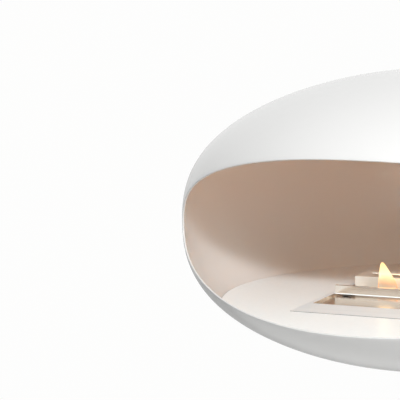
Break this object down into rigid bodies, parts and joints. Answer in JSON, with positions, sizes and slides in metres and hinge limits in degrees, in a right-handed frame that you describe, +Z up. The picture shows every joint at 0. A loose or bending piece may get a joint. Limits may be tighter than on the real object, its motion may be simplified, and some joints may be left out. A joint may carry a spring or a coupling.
{
  "type": "hanging fireplace",
  "caption": "White lacquered steel pod with an oval mouth and a stainless bioethanol burner inside, hung from the ceiling on a steel tube",
  "frame": {"origin": "Centre of the ceiling bracket's top face, which lies flat against the ceiling", "axes": "+Z up, out of the ceiling face and along the tube; the pod's mouth faces -Y; +X is to the right of someone facing the mouth"},
  "size_m": [0.932, 0.8687, 1.3047],
  "materials": {
    "white_lacquer": "gloss",
    "stainless": "brushed",
    "dark_steel": "matte",
    "bronze": "machined",
    "nylon": "matte",
    "fibre": "matte"
  },
  "bodies": {
    "ceiling_fitting": {"ceiling_bracket": "dark_steel", "suspension_tube": "stainless", "tube_foot": "dark_steel", "thrust_washer": "bronze", "cross_bolt": "stainless", "cross_nut": "stainless", "ceiling_canopy": "white_lacquer", "set_collar": "stainless", "grub_screw": "dark_steel"},
    "pod": {"swivel_hub": "stainless", "guide_bush": "nylon", "backing_plate": "dark_steel", "hub_bolt_1": "stainless", "hub_bolt_2": "stainless", "hub_bolt_3": "stainless", "hub_bolt_4": "stainless", "hub_nut_1": "stainless", "hub_nut_2": "stainless", "hub_nut_3": "stainless", "hub_nut_4": "stainless", "pod_shell": "white_lacquer", "hearth_deck": "white_lacquer", "deck_ring": "dark_steel", "burner_tray": "stainless", "guard_bar": "stainless", "guard_foot_left": "dark_steel", "guard_foot_right": "dark_steel", "burner_plate": "stainless", "fuel_reservoir": "stainless", "ceramic_absorber": "fibre", "lid_rail_left": "stainless", "lid_rail_right": "stainless"},
    "lid": {"snuffer_lid": "stainless", "lid_handle": "stainless", "handle_post_left": "stainless", "handle_post_right": "stainless"}
  },
  "joints": [
    {"name": "pod_swivel", "type": "hinge", "parent": "ceiling_fitting", "child": "pod", "pos_m": [0, 0, -0.7107], "axis": [0, 0, 1], "continuous": true},
    {"name": "lid_slide", "type": "slide", "parent": "pod", "child": "lid", "axis": [0, -1, 0], "range_m": [0, 0.05]}
  ]
}
